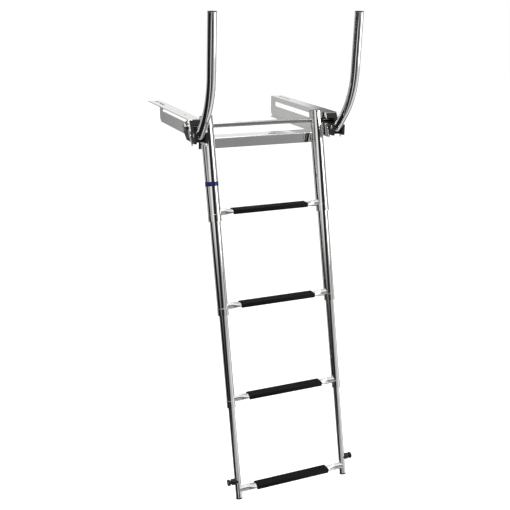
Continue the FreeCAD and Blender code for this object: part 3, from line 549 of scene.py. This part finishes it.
def place_camera():
    """Aim the camera by its heading, downward tilt and roll."""
    flat = math.cos(CAMERA_DOWN)
    ahead = Vector((math.sin(CAMERA_AZIMUTH) * flat, math.cos(CAMERA_AZIMUTH) * flat,
                    -math.sin(CAMERA_DOWN)))
    level = Vector((math.cos(CAMERA_AZIMUTH), -math.sin(CAMERA_AZIMUTH), 0))
    over = level.cross(ahead)
    right = level * math.cos(CAMERA_ROLL) + over * math.sin(CAMERA_ROLL)
    up = over * math.cos(CAMERA_ROLL) - level * math.sin(CAMERA_ROLL)
    lens = bpy.data.cameras.new("camera")
    lens.lens = LENS
    lens.sensor_width = SENSOR
    camera = bpy.data.objects.new("camera", lens)
    bpy.context.scene.collection.objects.link(camera)
    pose = Matrix((right, up, -ahead)).transposed().to_4x4()
    pose.translation = CAMERA_PLACE
    camera.matrix_world = pose
    bpy.context.scene.camera = camera


place_camera()


# ------------------------------------------------------------------------ studio
# Brightness round the studio, as (heading in degrees, grey). Heading 0 is the ladder's
# front and 90 its right. The strong and weak bands slide sideways as they rise, by DRIFT
# degrees for each degree of height, and the low ones stand still.
DRIFT = 2.09
DRIFT_START = 30.4
DRIFT_LOWEST = -12
DRIFT_HIGHEST = 20
STRONG_BANDS = (
    (-180, 0.6), (-75, 0.5), (-68, 0.42), (-61, 0.03), (-52, 0.10), (-45, 0.5), (-38, 0.8),
    (-29, 1.0), (-23, 0.85), (-17, 0.03), (12, 0.01), (22, 0.06), (34, 0.3), (46, 0.5),
    (58, 0.95), (80, 1.0), (92, 0.6), (104, 0.12), (116, 0.18), (132, 0.6), (160, 0.8),
    (180, 0.6))
WEAK_BANDS = (
    (-180, 0.5), (-62, 0.52), (-48, 0.44), (-36, 0.38), (-26, 0.26), (-15, 0.08),
    (-8, 0.01), (8, 0.01), (17, 0.10), (26, 0.36), (34, 0.58), (44, 0.6), (60, 0.46),
    (72, 0.36), (88, 0.07), (100, 0.05), (116, 0.2), (132, 0.5), (160, 0.55), (180, 0.5))
LOW_BANDS = (
    (-180, 0.30), (-163, 0.30), (-156, 0.55), (-134, 0.5), (-127, 0.01), (-72, 0.01),
    (-62, 0.08), (-54, 0.03), (-44, 0.02), (-40, 0.95), (-31, 0.95), (-25, 0.02),
    (-2, 0.01), (9, 0.18), (16, 0.27), (22, 0.29), (32, 0.34), (44, 0.85), (84, 0.8),
    (98, 0.25), (112, 0.3), (150, 0.75), (180, 0.30))
OVERHEAD = ((-180, 0.9), (0, 1.0), (180, 0.9))
DARK_CARD = ((-180, 0.09), (180, 0.09))
# Where each part of the studio stands, as (heading, share).
CARD_SPAN = ((-180, 0), (120, 0), (124, 1), (151.6, 1), (152.8, 0), (180, 0))
BRIGHT_SPAN = ((-180, 0), (152, 0), (154, 1), (180, 1))
FRONT_SPAN = ((-180, 0), (-51, 0), (-49, 1), (26, 1), (29, 0), (180, 0))
# And how high, as (elevation, share).
STRONG_RISE = ((-90, 0), (1.5, 0), (8, 1), (90, 1))
FRONT_SINK = ((-90, 1), (-6.5, 1), (-5.3, 0), (90, 0))
SIDE_SINK = ((-90, 1), (-2.6, 1), (-1.4, 0), (90, 0))
BEHIND_RISE = ((-90, 0), (4, 0), (5, 1), (16, 1), (19, 0), (90, 0))
UPPER_RISE = ((-90, 0), (31, 0), (36, 1), (90, 1))


def build_studio():
    """Light and dark bands for the polished steel to reflect; the camera sees only white."""
    world = bpy.data.worlds.new("studio")
    bpy.context.scene.world = world
    world.use_nodes = True
    tree = world.node_tree
    tree.nodes.clear()

    def node(kind, **settings):
        made = tree.nodes.new(kind)
        for key, value in settings.items():
            setattr(made, key, value)
        return made

    def maths(operation, a, b=0.0):
        made = node("ShaderNodeMath", operation=operation)
        for socket, value in zip(made.inputs, (a, b)):
            if isinstance(value, bpy.types.NodeSocket):
                tree.links.new(value, socket)
            else:
                socket.default_value = value
        return made.outputs[0]

    def ramp(value, stops, place):
        made = node("ShaderNodeValToRGB")
        tree.links.new(value, made.inputs["Fac"])
        cells = made.color_ramp.elements
        while len(cells) > 1:
            cells.remove(cells[-1])
        for index, (degrees, grey) in enumerate(stops):
            cell = cells.new(place(degrees)) if index else cells[0]
            cell.position = place(degrees)
            cell.color = (grey, grey, grey, 1)
        return made.outputs["Color"]

    def around(value, stops):
        return ramp(value, stops, lambda heading: heading / 360 + 0.5)

    def up(value, stops):
        return ramp(value, stops, lambda height: math.sin(math.radians(height)) * 0.5 + 0.5)

    def mix(factor, a, b):
        made = node("ShaderNodeMix", data_type="RGBA")
        tree.links.new(factor, made.inputs["Factor"])
        tree.links.new(a, made.inputs["A"])
        tree.links.new(b, made.inputs["B"])
        return made.outputs["Result"]

    axes = node("ShaderNodeSeparateXYZ")
    tree.links.new(node("ShaderNodeTexCoord").outputs["Generated"], axes.inputs["Vector"])
    back = maths("MULTIPLY", axes.outputs["Y"], -1.0)
    heading = maths("ARCTAN2", axes.outputs["X"], back)
    turn = maths("ADD", maths("DIVIDE", heading, 2 * math.pi), 0.5)
    rise = maths("ADD", maths("MULTIPLY", axes.outputs["Z"], 0.5), 0.5)
    height = maths("MAXIMUM", maths("ARCSINE", axes.outputs["Z"]), math.radians(DRIFT_LOWEST))
    height = maths("MINIMUM", height, math.radians(DRIFT_HIGHEST))
    drift = maths("MULTIPLY", height, -DRIFT / 360 * math.degrees(1))
    slid = maths("FRACT", maths("ADD", maths("ADD", turn, drift), DRIFT_START / 360))

    sink = mix(around(turn, FRONT_SPAN), up(rise, SIDE_SINK), up(rise, FRONT_SINK))
    behind = up(rise, BEHIND_RISE)
    over = around(turn, OVERHEAD)
    seen = mix(up(rise, STRONG_RISE), around(slid, WEAK_BANDS), around(slid, STRONG_BANDS))
    seen = mix(sink, seen, around(turn, LOW_BANDS))
    card = maths("MULTIPLY", behind, around(turn, CARD_SPAN))
    seen = mix(card, seen, around(turn, DARK_CARD))
    seen = mix(maths("MULTIPLY", behind, around(turn, BRIGHT_SPAN)), seen, over)
    seen = mix(up(rise, UPPER_RISE), seen, over)

    white = node("ShaderNodeRGB")
    white.outputs[0].default_value = (1, 1, 1, 1)
    shown = mix(node("ShaderNodeLightPath").outputs["Is Camera Ray"], seen, white.outputs[0])
    backdrop = node("ShaderNodeBackground")
    tree.links.new(shown, backdrop.inputs["Color"])
    backdrop.inputs["Strength"].default_value = 1.0
    out = node("ShaderNodeOutputWorld")
    tree.links.new(backdrop.outputs[0], out.inputs["Surface"])


build_studio()

# Soft lights: name, place, size and watts. They add little shine of their own.
LIGHTS = (("key", (-1.6, -2.2, 1.9), (1.4, 1.4), 45),
          ("fill", (2.2, -1.6, 0.6), (1.2, 1.8), 18),
          ("top", (0.2, 0.6, 2.4), (1.6, 1.6), 30))
LIGHT_SHINE = 0.25
CENTRE = middle_of(*CAD_BOX)


def soft_light(name, place, size, watts):
    lamp = bpy.data.lights.new(name, "AREA")
    lamp.shape = "RECTANGLE"
    lamp.size, lamp.size_y = size
    lamp.energy = watts
    lamp.specular_factor = LIGHT_SHINE
    holder = bpy.data.objects.new(name, lamp)
    bpy.context.scene.collection.objects.link(holder)
    holder.location = place
    holder.rotation_euler = (CENTRE - Vector(place)).to_track_quat("-Z", "Y").to_euler()


for light in LIGHTS:
    soft_light(*light)

FLOOR_GAP = 0.30
FLOOR_RADIUS = 14.0
FLOOR_GREY = 0.8
FLOOR_ROUGHNESS = 0.9
FLOOR_GLOW = 0.45


def lay_floor():
    """A plain pale floor below the ladder's feet, kept out of the steel's reflections."""
    mesh = bpy.data.meshes.new("floor")
    maker = bmesh.new()
    bmesh.ops.create_circle(maker, cap_ends=True, segments=96, radius=FLOOR_RADIUS)
    maker.to_mesh(mesh)
    maker.free()
    floor = bpy.data.objects.new("floor", mesh)
    bpy.context.scene.collection.objects.link(floor)
    floor.location = (0, 0, CAD_BOX[0][2] - FLOOR_GAP)
    floor.visible_glossy = False
    pale = Shader("pale_floor")
    pale.bsdf.inputs["Base Color"].default_value = (FLOOR_GREY, FLOOR_GREY, FLOOR_GREY, 1)
    pale.bsdf.inputs["Roughness"].default_value = FLOOR_ROUGHNESS
    pale.bsdf.inputs["Emission Color"].default_value = (1, 1, 1, 1)
    pale.bsdf.inputs["Emission Strength"].default_value = FLOOR_GLOW
    mesh.materials.append(pale.material)


lay_floor()
bpy.context.scene.view_settings.view_transform = "Standard"
